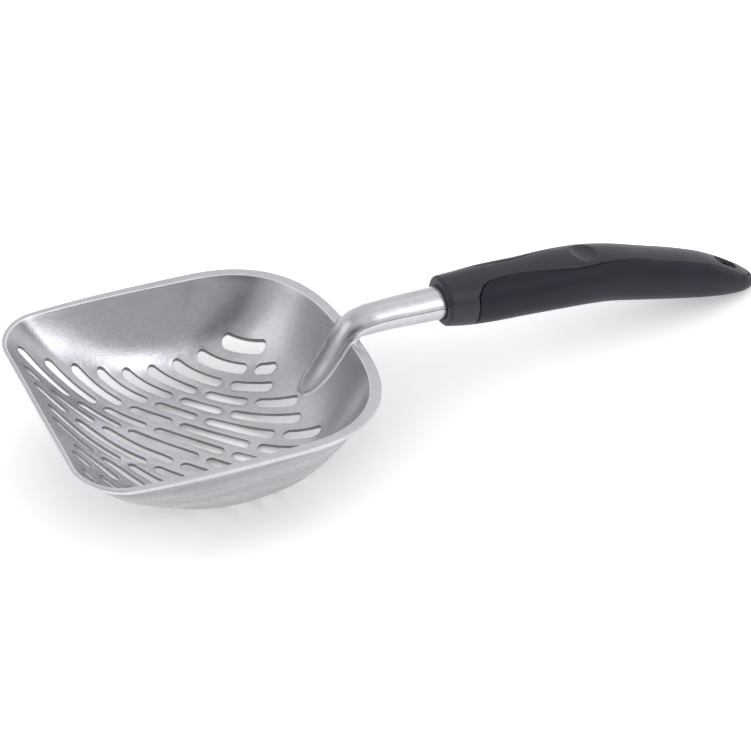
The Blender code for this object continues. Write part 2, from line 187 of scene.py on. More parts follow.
# Tang, hang hole and thumb rest
TANG_HALF_WIDTH = 5.5
TANG_HALF_HEIGHT = 3.5
TANG_START = 194.0
TANG_END = 336.0
TANG_GAP = 0.3
TANG_PLACES = 40
CHANNEL_SPAN = (TANG_START + 1.5, TANG_END + 0.6)
TANG_CORNERS = (
    (-0.7, 1.0),
    (0.7, 1.0),
    (1.0, 0.6),
    (1.0, -0.6),
    (0.7, -1.0),
    (-0.7, -1.0),
    (-1.0, -0.6),
    (-1.0, 0.6),
)
SOCKET = (186.0, 197.3)
SOCKET_GAP = 0.08
HANG_HOLE_AT = 352.0
HANG_HOLE_LENGTH = 13.4
HANG_HOLE_WIDTH = 7.0
HANG_HOLE_CUT = (-60.0, 20.0)
HANG_HOLE_END_POINTS = 25
THUMB_AT = 264.6
THUMB_HALF_LENGTH = 12.4
THUMB_HALF_WIDTH = 22.4
THUMB_HALF_HEIGHT = 9.6
THUMB_LIFT = 8.0
THUMB_SIDES = 96
THUMB_RINGS = 70
THUMB_LAST_TILT = 88.0

# Rest on the table
REST_TILT = math.radians(2.72)
FLOOR_DEPTH = 46.62
LIP_TO_MIDDLE = 185.1638

# Fineness of the surfaces
RIM_POINTS = 560
GRID_STEP = 1.7
LAST_GRID_SHARE = 0.99
DRAWN_FROM = 0.95
SLOT_EDGE = 0.3
SLOT_FLARE = 0.75
SLOT_EDGE_RINGS = 4
# How many rings of each slot's top edge take the painted highlight
HIGHLIGHT_EDGE_RINGS = 1
SLOT_CLEARANCE = 0.5
INNER_EDGE = 0.5
INNER_EDGE_SHARE = 0.28
OUTER_EDGE = 0.55
OUTER_EDGE_SHARE = 0.3
LOW_EDGE_SHARE = 0.8
FLANGE_CORNER = 0.9
SHANK_SIDES = 96
GRIP_SIDES = 112

# Fillet where the shank meets the bowl: its width, and how finely and how often its points are set
JOINT_FILLET = 1.5
JOINT_REACH = 2.0
JOINT_EDGE = 0.5
JOINT_SPLITS = 3
JOINT_SETTLES = 3
BLEND_REACH = 4.0
BLEND_PASSES = 6
BLEND_LONGEST_STEP = 0.4
BLEND_LEAST_NORMAL = 0.04
# Share of the fillet's width round the crease that takes the painted highlight on the shank's front side
HIGHLIGHT_SHARE = 0.4

# Material index of each finish of the casting
INSIDE_FINISH = 0
# Slot walls, whose dark colour is painted shade
SLOT_WALL_SHADE_FINISH = 1
# Underside and flange underside: streaks of wear, and a colour darker than the inside that is painted shade
OUTSIDE_WEAR_AND_SHADE = 2
# Groove along the shank's ledge, dark with grime and painted shade
CREASE_GRIME_AND_SHADE = 3
# Edges and fillets painted pale as a highlight
PAINTED_HIGHLIGHT_FINISH = 4

# Casting's finishes: dark and pale colour, lowest and highest roughness, and how far streaks show
TUMBLED = ((0.655, 0.652, 0.674), (0.745, 0.742, 0.766), 0.20, 0.27, 0.0)
# Painted shade: dark grey on the slots' walls and rounded edges
SLOT_WALL_SHADE = ((0.28, 0.277, 0.295), (0.38, 0.376, 0.395), 0.36, 0.46, 0.0)
# Worn outside: its streaks are wear, and its colour darker than the inside is painted shade
WORN_AND_SHADED = ((0.54, 0.538, 0.552), (0.72, 0.718, 0.734), 0.24, 0.32, 0.7)
# Grime and painted shade: dark grey in the groove along the shank's ledge
GRIME_AND_SHADE = ((0.22, 0.218, 0.23), (0.30, 0.298, 0.31), 0.40, 0.50, 0.0)
# Painted highlight: pale grey on the slots' top edges, the rim's inner edge and the front side of the shank's
# fillet
PAINTED_HIGHLIGHT = ((0.90, 0.90, 0.92), (0.96, 0.96, 0.98), 0.38, 0.46, 0.0)
# Grip's finishes: dark and pale colour, lowest and highest roughness, and shine. The shell's paler colour is
# painted light on the grip's top.
SHELL = ((0.022, 0.0225, 0.037), (0.029, 0.0295, 0.047), 0.31, 0.38, 0.62)
SLEEVE = ((0.017, 0.0175, 0.031), (0.023, 0.0235, 0.039), 0.36, 0.43, 0.30)
# Painted shade on the worn outside by height: place between the table and BODY_HEIGHT, and how pale it is there
BODY_HEIGHT = 0.05
PAINTED_SHADE_HEIGHTS = ((0.06, 0.80), (0.34, 0.98), (0.62, 0.94), (0.90, 0.66))
# Patterns of the metal, in cycles a metre, and how deep each bump is in metres
BLOTCH_SCALE = 38.0
GRAIN_SCALE = 1500.0
BRUSH_SCALES = (45.0, 1300.0, 1300.0)
STREAK_SCALES = (9.0, 150.0, 230.0)
FLECK_SCALES = (260.0, 620.0, 620.0)
FLECK_SHARE = 0.45
METAL_STOPS = (0.35, 0.65)
GRAIN_BUMP = (0.50, 0.00012)
BRUSH_BUMP = (0.30, 0.00005)
BLOTCH_BUMP = (0.10, 0.0006)
# Patterns of the plastic, and the rounding that its edges are shaded with
TEXTURE_SCALE = 2600.0
CLOUD_SCALE = 60.0
PLASTIC_STOPS = (0.3, 0.7)
TEXTURE_BUMP = (0.18, 0.00012)
PLASTIC_EDGE = 0.00035
PLASTIC_EDGE_SAMPLES = 6

# Camera: place in millimetres and direction in degrees, in the scoop's frame turned by the slope
# CAMERA_SLOPE about Y. Bearing 0 is the front (-Y).
CAMERA_SLOPE = -0.099
CAMERA_PLACE = (-156.740, -626.964, 576.401)
CAMERA_BEARING = -26.6696
CAMERA_ELEVATION = 41.5248
LENS = 98.40
SENSOR = 36.0
CLIP_START = 0.01

# View curve: a grey up to the first value stays, and the second value becomes white
GREY_KEPT = 0.62
GREY_TO_WHITE = 0.86

# Studio light, by bearing from the front, elevation, inner and outer radius in degrees, and amount
STUDIO_TINT = (0.985, 0.98, 1.0)
STUDIO_BASE = 0.67
STUDIO_PATCHES = (
    (38.5, 28.0, 6.0, 25.0, 0.84),
    (42.0, 52.0, 4.0, 20.0, 0.26),
    (62.0, 6.0, 4.0, 18.0, -0.44),
    (-96.0, 34.0, 10.0, 28.0, 0.34),
    (85.0, 68.0, 10.0, 42.0, 0.14),
    (-140.0, 66.0, 10.0, 40.0, -0.12),
    (165.0, 20.0, 35.0, 75.0, 0.10),
    (96.0, 34.0, 8.0, 34.0, 0.08),
    (-16.0, 5.0, 8.0, 38.0, -0.50),
    (-50.0, 22.0, 5.0, 24.0, -0.20),
    (-118.0, 3.0, 6.0, 24.0, -0.28),
)

# Floor, and the pool round the object where its glow fades, a painted shadow
FLOOR_SIZE = 6.0
FLOOR_DROP = 0.0002
FLOOR_SHADE = 0.92
FLOOR_SHADE_RANGE = 0.01
FLOOR_PATTERN = 3.0
FLOOR_GLOW = 0.36
POOL_GLOW = 0.20
POOL_MIDDLE = -0.09
POOL_LENGTH = 0.155
POOL_WIDTH = 0.105
POOL_START = 0.3


def to_world(points):
    """Scoop frame in millimetres to the row frame in metres, at rest."""
    points = np.asarray(points, float)
    c = math.cos(REST_TILT)
    s = math.sin(REST_TILT)
    x = points[..., 0] * c + points[..., 2] * s - LIP_TO_MIDDLE
    z = -points[..., 0] * s + points[..., 2] * c + FLOOR_DEPTH
    return np.stack([x, points[..., 1], z], axis=-1) * MM


def mesh_object(name, points, faces, marks=None):
    mesh = bpy.data.meshes.new(name)
    mesh.from_pydata([tuple(p) for p in to_world(points)], [], [tuple(int(i) for i in f) for f in faces])
    shape = bmesh.new()
    shape.from_mesh(mesh)
    bmesh.ops.recalc_face_normals(shape, faces=shape.faces)
    shape.to_mesh(mesh)
    shape.free()
    if marks is not None:
        for _ in range(PAINTED_HIGHLIGHT_FINISH + 1):
            mesh.materials.append(None)
        mesh.polygons.foreach_set("material_index", np.array(marks, np.int32))
    mesh.shade_smooth()
    obj = bpy.data.objects.new(name, mesh)
    bpy.context.scene.collection.objects.link(obj)
    return obj


# Rim and bowl


def side_half_width(x):
    ahead = np.maximum(0.0, (WIDEST_AT - x) / WIDEST_AT)
    return RIM_HALF_WIDTH - FRONT_NARROWING * ahead ** NARROWING_POWER


def flange_width(x):
    growth = (np.maximum(x, 0.0) / WIDEST_AT) ** FLANGE_GROWTH
    return FLANGE_AT_LIP + (FLANGE_AT_SIDE - FLANGE_AT_LIP) * growth


def half_rim():
    """Dense outer and inner rim points from the middle of the lip to the middle of the back."""
    lip_half = side_half_width(0.0) - LIP_CORNER_RADIUS
    y = np.linspace(0.0, lip_half, LIP_SAMPLES, endpoint=False)
    outer = [np.stack([np.zeros_like(y), y], 1)]
    inner = [np.stack([np.full_like(y, FLANGE_AT_LIP), y], 1)]
    turn = np.linspace(0.0, math.pi / 2.0, LIP_SAMPLES, endpoint=False)
    x = LIP_CORNER_RADIUS * (1.0 - np.cos(turn))
    edge = np.stack([x, side_half_width(x) - LIP_CORNER_RADIUS * (1.0 - np.sin(turn))], 1)
    outer.append(edge)
    inner.append(edge + flange_width(x)[:, None] * np.stack([np.cos(turn), -np.sin(turn)], 1))
    x = np.linspace(LIP_CORNER_RADIUS, WIDEST_AT, SIDE_SAMPLES, endpoint=False)
    edge = np.stack([x, side_half_width(x)], 1)
    outer.append(edge)
    inner.append(edge - np.stack([np.zeros_like(x), flange_width(x)], 1))
    turn = np.linspace(0.0, math.pi / 2.0, BACK_SAMPLES)
    for inset_side, inset_back, into in ((0.0, 0.0, outer), (FLANGE_AT_SIDE, FLANGE_AT_BACK, inner)):
        along = (RIM_LENGTH - inset_back - WIDEST_AT) * np.sin(turn) ** (2.0 / BACK_POWER_ALONG)
        across = (RIM_HALF_WIDTH - inset_side) * np.maximum(0.0, np.cos(turn)) ** (2.0 / BACK_POWER_ACROSS)
        across[-1] = 0.0
        into.append(np.stack([WIDEST_AT + along, across], 1))
    return np.concatenate(outer), np.concatenate(inner)


def even_rim(count):
    """Evenly spaced outer rim points and their inner partners, all the way round from the lip's middle."""
    outer, inner = half_rim()
    outer = np.concatenate([outer, (outer * (1.0, -1.0))[-2:0:-1]])
    inner = np.concatenate([inner, (inner * (1.0, -1.0))[-2:0:-1]])
    closed = np.concatenate([outer, outer[:1]])
    steps = np.linalg.norm(np.diff(closed, axis=0), axis=1)
    along = np.concatenate([[0.0], np.cumsum(steps)])
    places = np.linspace(0.0, along[-1], count, endpoint=False)
    pairs = []
    for line in (outer, inner):
        whole = np.concatenate([line, line[:1]])
        pairs.append(np.stack([np.interp(places, along, whole[:, k]) for k in (0, 1)], 1))
    return pairs


class Bowl:
    """The bowl's inner surface and its underside as functions of the place seen from above."""

    def __init__(self):
        outer, inner = half_rim()
        angle = np.arctan2(inner[:, 1], inner[:, 0] - BOWL_CENTRE)
        order = np.argsort(angle)
        self.angles = angle[order]
        self.radii = np.hypot(inner[:, 0] - BOWL_CENTRE, inner[:, 1])[order]
        self.widths = np.linalg.norm(outer - inner, axis=1)[order]
        steps = np.radians(45.0 * np.arange(len(FULLNESS)))
        waves = np.cos(np.outer(steps, np.arange(len(FULLNESS))))
        self.waves = np.linalg.solve(waves, np.array(FULLNESS))
        self.table_angles = np.linspace(0.0, math.pi, TABLE_ANGLES)
        self.table_shares = np.linspace(0.0, 1.0, TABLE_SHARES)
        a = self.table_angles[:, None]
        s = self.table_shares[None, :]
        radius = self.radius(a)
        x = BOWL_CENTRE + s * radius * np.cos(a)
        z = self.depth(x) * -(1.0 - s ** self.power(a))
        steps = np.hypot(np.diff(s * radius, axis=1), np.diff(z, axis=1))
        starts = np.zeros((TABLE_ANGLES, 1))
        self.lengths = np.concatenate([starts, np.cumsum(steps, axis=1)], axis=1)

    def radius(self, angle):
        return np.interp(np.abs(angle), self.angles, self.radii)

    def width(self, angle):
        return np.interp(np.abs(angle), self.angles, self.widths)

    def power(self, angle):
        return sum(wave * np.cos(k * angle) for k, wave in enumerate(self.waves))

    def depth(self, x):
        return BOWL_DEPTH * (1.0 + DEPTH_GAIN * (x - BOWL_CENTRE))

    def polar(self, x, y):
        angle = np.arctan2(y, x - BOWL_CENTRE)
        return angle, np.hypot(x - BOWL_CENTRE, y) / self.radius(angle)

    def at(self, angle, share):
        reach = share * self.radius(angle)
        return BOWL_CENTRE + reach * np.cos(angle), reach * np.sin(angle)

    def height(self, x, y):
        angle, share = self.polar(x, y)
        return -self.depth(x) * (1.0 - share ** self.power(angle))

    def slopes(self, x, y):
        step = SLOPE_STEP
        gx = (self.height(x + step, y) - self.height(x - step, y)) / (2.0 * step)
        gy = (self.height(x, y + step) - self.height(x, y - step)) / (2.0 * step)
        return gx, gy

    def wall(self, x, y):
        angle, share = self.polar(x, y)
        taper = np.clip((share - WALL_TAPER_FROM) / (1.0 - WALL_TAPER_FROM), 0.0, 1.0)
        return WALL + (np.minimum(WALL, WALL_FLANGE_SHARE * self.width(angle)) - WALL) * taper

    def under(self, x, y):
        """The underside point straight below (x, y) where the wall is low, and square to it where steep."""
        gx, gy = self.slopes(x, y)
        steep = np.clip((np.hypot(gx, gy) - LOW_SLOPE) / SLOPE_TO_SQUARE, 0.0, 1.0)
        steep = steep * steep * (3.0 - 2.0 * steep)
        norm = np.sqrt(gx * gx + gy * gy + 1.0)
        wall = self.wall(x, y)
        tx = x + steep * wall * gx / norm
        ty = y + steep * wall * gy / norm
        sx = x - (1.0 - steep) * wall * gx / norm
        sy = y - (1.0 - steep) * wall * gy / norm
        for _ in range(UNDER_PASSES):
            gx, gy = self.slopes(sx, sy)
            norm = np.sqrt(gx * gx + gy * gy + 1.0)
            wall = self.wall(sx, sy)
            sx = 0.5 * sx + 0.5 * (tx - wall * gx / norm)
            sy = 0.5 * sy + 0.5 * (ty - wall * gy / norm)
        tz = self.height(sx, sy) - wall / norm
        floor = (-FLOOR_DEPTH + tx * math.sin(REST_TILT)) / math.cos(REST_TILT)
        return tx, ty, np.maximum(tz, floor)

    def stretched(self, x, y):
        """A flat map that keeps distances up the bowl's wall, for the triangulation."""
        angle, share = self.polar(x, y)
        a = np.clip(np.abs(angle) / math.pi * (TABLE_ANGLES - 1), 0, TABLE_ANGLES - 1.001)
        s = np.clip(share * (TABLE_SHARES - 1), 0, TABLE_SHARES - 1.001)
        i = a.astype(int)
        j = s.astype(int)
        fa = a - i
        fs = s - j
        table = self.lengths
        reach = (table[i, j] * (1 - fa) * (1 - fs) + table[i + 1, j] * fa * (1 - fs)
                 + table[i, j + 1] * (1 - fa) * fs + table[i + 1, j + 1] * fa * fs)
        return np.cos(angle) * reach, np.sin(angle) * reach


# Slots


def slot_ends():
    ends = []
    for far, near in SLOT_ROWS:
        for line in SLOT_LINES:
            crossing = FIRST_LINE_AT + line * SLOT_PITCH
            first = max(crossing - far * SLOT_SLANT, FIELD_FRONT)
            last = min(crossing - near * SLOT_SLANT, FIELD_BACK)
            if (last - first) * math.hypot(1.0, 1.0 / SLOT_SLANT) < SHORTEST_SLOT:
                continue
            start = (first, (crossing - first) / SLOT_SLANT)
            end = (last, (crossing - last) / SLOT_SLANT)
            ends.append((np.array(start), np.array(end)))
    return ends


def slot_loop(start, end):
    """Points round a slot's edge and the directions away from the slot there."""
    along = (end - start) / np.linalg.norm(end - start)
    side = np.array([-along[1], along[0]])
    radius = SLOT_WIDTH / 2.0
    first = start + along * radius
    second = end - along * radius
    points = []
    away = []
    steps = max(2, int(np.linalg.norm(second - first) / SLOT_STEP))
    for centre, other, facing in ((first, second, -1.0), (second, first, 1.0)):
        for turn in np.linspace(0.0, math.pi, SLOT_END_POINTS):
            direction = facing * (math.sin(turn) * along - math.cos(turn) * side)
            points.append(centre + radius * direction)
            away.append(direction)
        direction = away[-1]
        for step in range(1, steps):
            points.append(centre + (other - centre) * step / steps + radius * direction)
            away.append(direction)
    return np.array(points), np.array(away)


def far_from_slots(points, ends, gap):
    keep = np.ones(len(points), bool)
    for start, end in ends:
        along = (end - start) / np.linalg.norm(end - start)
        first = start + along * SLOT_WIDTH / 2.0
        second = end - along * SLOT_WIDTH / 2.0
        span = np.clip((points - first) @ along, 0.0, np.linalg.norm(second - first))
        near = first + span[:, None] * along
        keep &= np.linalg.norm(points - near, axis=1) > SLOT_WIDTH / 2.0 + gap
    return keep


def bend(start, corner, end, steps):
    """Rings along the rounded corner from start to end, both left out."""
    rings = []
    for step in range(1, steps):
        t = step / steps
        rings.append((1 - t) ** 2 * start + 2 * t * (1 - t) * corner + t * t * end)
    return rings


def bowl_mesh(bowl):
    """The whole bowl as points, faces and each face's finish: inner surface, underside, slots and rim."""
    outer, inner = even_rim(RIM_POINTS)
    ends = slot_ends()
    angle = np.arctan2(inner[:, 1], inner[:, 0] - BOWL_CENTRE)
    width = np.linalg.norm(outer - inner, axis=1)
    edge = np.minimum(INNER_EDGE, INNER_EDGE_SHARE * width)
    steep = np.hypot(bowl.radius(angle), bowl.depth(inner[:, 0]) * bowl.power(angle))
    top_share = 1.0 - edge / steep
    thick = np.minimum(FLANGE_THICKNESS, LIP_THICKNESS_SHARE * width)
    power = bowl.power(angle)
    low_share = (1.0 - (thick + FLANGE_CORNER) / BOWL_DEPTH) ** (1.0 / power)
    # Places of the surface points, seen from above: slot edges, the rim's inner edge, then a grid
    loops = []
    plan = []
    for start, end in ends:
        points, away = slot_loop(start, end)
        loops.append((len(plan), points, away))
        plan.extend(points + SLOT_EDGE * away)
    plan = np.array(plan)
    rim_start = len(plan)
    x, y = bowl.at(angle, np.ones_like(angle))
    plan = np.concatenate([plan, np.stack([x, y], 1)])
    reach = float(np.mean(bowl.lengths[:, -1]))
    rings = int(reach / GRID_STEP)
    extra = []
    for ring in range(1, rings):
        share = 1.0 - ring / rings
        length = share * reach * 2.0 * math.pi
        count = max(6, int(length / GRID_STEP))
        turn = (np.arange(count) + 0.5 * (ring % 2)) * 2.0 * math.pi / count - math.pi
        table = [np.interp(share * line[-1], line, bowl.table_shares) for line in bowl.lengths]
        real = np.interp(np.abs(turn), bowl.table_angles, table)
        x, y = bowl.at(turn, real)
        extra.append(np.stack([x, y], 1))
    extra = np.concatenate(extra + [np.array([[BOWL_CENTRE, 0.0]])])
    _, share = bowl.polar(extra[:, 0], extra[:, 1])
    clear = SLOT_EDGE + SLOT_FLARE + SLOT_CLEARANCE
    extra = extra[far_from_slots(extra, ends, clear) & (share < LAST_GRID_SHARE)]
    plan = np.concatenate([plan, extra])
    flat = np.stack(bowl.stretched(plan[:, 0], plan[:, 1]), 1)
    edges = []
    owner = np.full(len(plan), -1)
    for k, (base, points, _) in enumerate(loops):
        count = len(points)
        owner[base:base + count] = k
        edges += [(base + i, base + (i + 1) % count) for i in range(count)]
    edges += [(rim_start + i, rim_start + (i + 1) % RIM_POINTS) for i in range(RIM_POINTS)]
    verts, _, tris, orig, _, _ = delaunay_2d_cdt(
        [Vector(p) for p in flat], edges, [], 0, 1e-7, True)
    if len(verts) != len(plan):
        raise RuntimeError(f"triangulation made {len(verts)} points from {len(plan)}")
    index = np.array([ids[0] for ids in orig])
    tris = index[np.array(tris)]
    own = owner[tris]
    hole = (own[:, 0] >= 0) & (own[:, 0] == own[:, 1]) & (own[:, 1] == own[:, 2])
    on_rim = ((tris >= rim_start) & (tris < rim_start + RIM_POINTS)).all(1)
    tris = tris[~hole & ~on_rim]
    corners = flat[tris]
    area = np.cross(corners[:, 1] - corners[:, 0], corners[:, 2] - corners[:, 0])
    tris[area < 0] = tris[area < 0][:, ::-1]
    # Top and underside, where each slot is wider by the draft of the mould
    order = np.argsort(angle)
    wrap = np.concatenate([angle[order] - 2 * math.pi, angle[order], angle[order] + 2 * math.pi])

    def drawn_in(places, end_shares):
        """The places with those near the rim drawn inwards, so that they end at the given shares."""
        angles, share = bowl.polar(places[:, 0], places[:, 1])
        end = np.interp(angles, wrap, np.tile(end_shares[order], 3))
        start = DRAWN_FROM
        over = np.clip((share - start) / (1.0 - start), 0.0, 1.0)
        return bowl.at(angles, np.where(share > start, start + over * (end - start), share))

    x, y = drawn_in(plan, top_share)
    top = np.stack([x, y, bowl.height(x, y)], 1)
    low_plan = plan.copy()
    for base, loop, away in loops:
        low_plan[base:base + len(loop)] += SLOT_FLARE * away
    low = np.stack(bowl.under(*drawn_in(low_plan, low_share)), 1)
    points = [top, low]
    faces = [tuple(t) for t in tris] + [tuple(t[::-1] + len(plan)) for t in tris]
    total = 2 * len(plan)

    def strip(first, second, count):
        for i in range(count):
            j = (i + 1) % count
            faces.append((first + i, first + j, second + j, second + i))

    slot_first = len(faces)
    # Faces painted pale as a highlight
    highlit_faces = []
    # Slots: a rounded edge, the straight wall, a rounded edge
    for base, loop, away in loops:
        count = len(loop)
        last = base
        rings = []
        for ring in range(1, SLOT_EDGE_RINGS + 1):
            turn = 0.5 * math.pi * ring / SLOT_EDGE_RINGS
            place = loop + away * SLOT_EDGE * (1.0 - math.sin(turn))
            z = bowl.height(place[:, 0], place[:, 1]) - SLOT_EDGE * (1.0 - math.cos(turn))
            rings.append(np.column_stack([place, z]))
        for ring in range(SLOT_EDGE_RINGS, 0, -1):
            turn = 0.5 * math.pi * ring / SLOT_EDGE_RINGS
            place = loop + away * (SLOT_FLARE + SLOT_EDGE * (1.0 - math.sin(turn)))
            edge_low = np.column_stack(bowl.under(place[:, 0], place[:, 1]))
            edge_low[:, 2] += SLOT_EDGE * (1.0 - math.cos(turn))
            rings.append(edge_low)
        for step, ring in enumerate(rings):
            points.append(ring)
            # The first rings of each slot's top edge take the painted highlight
            if step < HIGHLIGHT_EDGE_RINGS:
                highlit_faces += range(len(faces), len(faces) + count)
            strip(total, last, count)
            last = total
            total += count
        strip(len(plan) + base, last, count)

    slot_last = len(faces)
    # Rim: rounded inner edge, flat top, rounded outer edges, underside of the flange
    def lifted(place, z):
        return np.column_stack([place, np.broadcast_to(z, len(place))])

    outwards = (outer - inner) / width[:, None]
    inner_top = lifted(inner, 0.0)
    wall_end = top[rim_start:rim_start + RIM_POINTS]
    flat_start = lifted(inner + outwards * edge[:, None], 0.0)
    outer_edge = np.minimum(OUTER_EDGE, OUTER_EDGE_SHARE * width)[:, None]
    rings = bend(wall_end, inner_top, flat_start, 4)
    rings.append(flat_start)
    flat_end = lifted(outer - outwards * outer_edge, 0.0)
    rings.append(0.5 * (flat_start + flat_end))
    rings.append(flat_end)
    side_top = lifted(outer, -outer_edge[:, 0])
    rings += bend(flat_end, lifted(outer, 0.0), side_top, 5)
    rings.append(side_top)
    low_edge = LOW_EDGE_SHARE * outer_edge
    side_low = lifted(outer, -(thick - low_edge[:, 0]))
    rings.append(side_low)
    ledge_start = lifted(outer - outwards * low_edge, -thick)
    rings += bend(side_low, lifted(outer, -thick), ledge_start, 4)
    rings.append(ledge_start)
    wall_low = low[rim_start:rim_start + RIM_POINTS]
    wall_corner = wall_low.copy()
    wall_corner[:, 2] = -thick
    rings += bend(ledge_start, wall_corner, wall_low, 5)
    last = rim_start
    for ring in rings:
        points.append(ring)
        if ring is ledge_start:
            rim_low_first = len(faces)
        # The rounded inner edge of the rim, before the flat top, takes the painted highlight
        if ring is flat_start:
            highlit_faces += range(slot_last, len(faces))
        strip(last, total, RIM_POINTS)
        last = total
        total += RIM_POINTS
    strip(last, len(plan) + rim_start, RIM_POINTS)
    marks = np.full(len(faces), INSIDE_FINISH)
    # The underside and the flange's underside take the worn finish with painted shade
    marks[len(tris):2 * len(tris)] = OUTSIDE_WEAR_AND_SHADE
    marks[rim_low_first:] = OUTSIDE_WEAR_AND_SHADE
    # Painted shade on the slots' walls and rounded edges
    marks[slot_first:slot_last] = SLOT_WALL_SHADE_FINISH
    # The painted highlight goes over every other finish
    marks[highlit_faces] = PAINTED_HIGHLIGHT_FINISH
    return np.concatenate(points), faces, marks


# Shank and grip


def smooth_row(rows, x):
    table = np.array(rows)
    places = table[:, 0]
    index = int(np.clip(np.searchsorted(places, x) - 1, 0, len(places) - 2))
    span = places[index + 1] - places[index]
    part = (x - places[index]) / span
    slopes = np.gradient(table, places, axis=0)
    start = table[index]
    end = table[index + 1]
    bent = part * part * (3.0 - 2.0 * part)
    enter = part * (1.0 - part) ** 2
    leave = part * part * (1.0 - part)
    tangents = slopes[index] * enter - slopes[index + 1] * leave
    return start + (end - start) * bent + span * tangents


def section_up(rows, x):
    """The direction square to the body's centre line at x, in the middle plane."""
    low = max(rows[0][0], x - 0.5)
    high = min(rows[-1][0], x + 0.5)
    rise = smooth_row(rows, high)[1] - smooth_row(rows, low)[1]
    path = Vector((high - low, 0.0, rise)).normalized()
    return np.array([-path.z, 0.0, path.x])


def ring_body(name, rings, column_marks=None):
    """A closed body through the rings, with a flat face at each end."""
    count = len(rings[0])
    points = np.concatenate(rings)
    faces = [tuple(range(count))[::-1]]
    for i in range(len(rings) - 1):
        for j in range(count):
            k = (j + 1) % count
            faces.append((i * count + j, i * count + k, (i + 1) * count + k, (i + 1) * count + j))
    last = (len(rings) - 1) * count
    faces.append(tuple(range(last, last + count)))
    if column_marks is None:
        return mesh_object(name, points, faces)
    sides = np.tile(column_marks, len(rings) - 1)
    marks = np.concatenate([[INSIDE_FINISH], sides, [INSIDE_FINISH]])
    return mesh_object(name, points, faces, marks)


def shank_body():
    rings = []
    ledge = SHANK_STEP_ANGLE - np.array(LEDGE_POINTS)
    degrees = np.arange(SHANK_SIDES) * 360.0 / SHANK_SIDES
    below = np.abs(degrees - 90.0) - (90.0 - SHANK_STEP_ANGLE)
    degrees = degrees[np.abs(below - LEDGE_MIDDLE) > LEDGE_REACH]
    degrees = np.sort(np.concatenate([degrees, ledge, 180.0 - ledge]))
    turn = np.radians(degrees)
    # How far below the ledge each side point is, measured round the section
    under = np.abs((degrees - 90.0 + 180.0) % 360.0 - 180.0) - (90.0 - SHANK_STEP_ANGLE)
    lower = np.clip((under - LEDGE_RISE[0]) / (LEDGE_RISE[1] - LEDGE_RISE[0]), 0.0, 1.0)
    groove = np.clip(1.0 - np.abs(under - GROOVE_MIDDLE) / GROOVE_REACH, 0.0, 1.0)
    scale = 1.0 + (SHANK_LOWER_SCALE - 1.0) * lower - SHANK_GROOVE * groove
    bent = np.linspace(SHANK[0][0], SHANK_BEND_END, SHANK_BEND_PLACES)
    straight = np.linspace(SHANK_BEND_END + 1.0, SHANK[-1][0], SHANK_STRAIGHT_PLACES)
    for x in np.concatenate([bent, straight]):
        row = smooth_row(SHANK, x)
        up = section_up(SHANK, x)
        lift = np.sin(turn) * np.where(np.sin(turn) > 0.0, row[3], row[4]) * scale
        ring = np.array([x, 0.0, row[1]]) + up * lift[:, None]
        ring[:, 1] = row[2] * scale * np.cos(turn)
        rings.append(ring)
    # The groove's faces take the dark grime and painted shade
    in_groove = (under > CREASE_SPAN[0]) & (under < CREASE_SPAN[1])
    both_ends = in_groove & np.roll(in_groove, -1)
    return ring_body("shank", rings, np.where(both_ends, CREASE_GRIME_AND_SHADE, INSIDE_FINISH))


def tang_body(name, gap, start, end):
    rings = []
    for x in np.linspace(start, end, TANG_PLACES):
        row = smooth_row(GRIP, x)
        up = section_up(GRIP, x)
        ring = []
        for across, lift in TANG_CORNERS:
            point = np.array([x, 0.0, row[1]]) + up * (TANG_HALF_HEIGHT + gap) * lift
            point[1] = (TANG_HALF_WIDTH + gap) * across
            ring.append(point)
        rings.append(np.array(ring))
    return ring_body(name, rings)


def boolean(target, other, operation):
    modifier = target.modifiers.new("boolean", "BOOLEAN")
    modifier.operation = operation
    modifier.solver = "EXACT"
    modifier.object = other
    with bpy.context.temp_override(object=target, active_object=target, selected_objects=[target]):
        bpy.ops.object.modifier_apply(modifier=modifier.name)
    bpy.data.objects.remove(other, do_unlink=True)


def tree_of(obj):
    shape = bmesh.new()
    shape.from_mesh(obj.data)
    tree = BVHTree.FromBMesh(shape)
    shape.free()
    return tree


def signed_distance(tree, point, reach):
    """Distance to the surface, negative inside it, and the direction away from it. None beyond reach."""
    place, normal, _, distance = tree.find_nearest(point, reach)
    if place is None:
        return None, None
    sign = 1.0 if (point - place).dot(normal) >= 0.0 else -1.0
    if distance > 1e-7:
        normal = (point - place) / distance * sign
    return sign * distance, normal


def onto_blend(start, first, second, width):
    """The point moved onto the smooth union of two surfaces."""
    point = start.copy()
    reach = BLEND_REACH * width
    for _ in range(BLEND_PASSES):
        a, normal_a = signed_distance(first, point, reach)
        b, normal_b = signed_distance(second, point, reach)
        if a is None or b is None:
            break
        mix = max(width - abs(a - b), 0.0) / width
        level = min(a, b) - mix * mix * width / 4.0
        share = 1.0 - mix / 2.0 if a < b else mix / 2.0
        normal = normal_a * share + normal_b * (1.0 - share)
        if normal.length_squared < BLEND_LEAST_NORMAL:
            break
        step = normal * (level / normal.length_squared)
        if step.length > BLEND_LONGEST_STEP * width:
            step *= BLEND_LONGEST_STEP * width / step.length
        point -= step
    return point


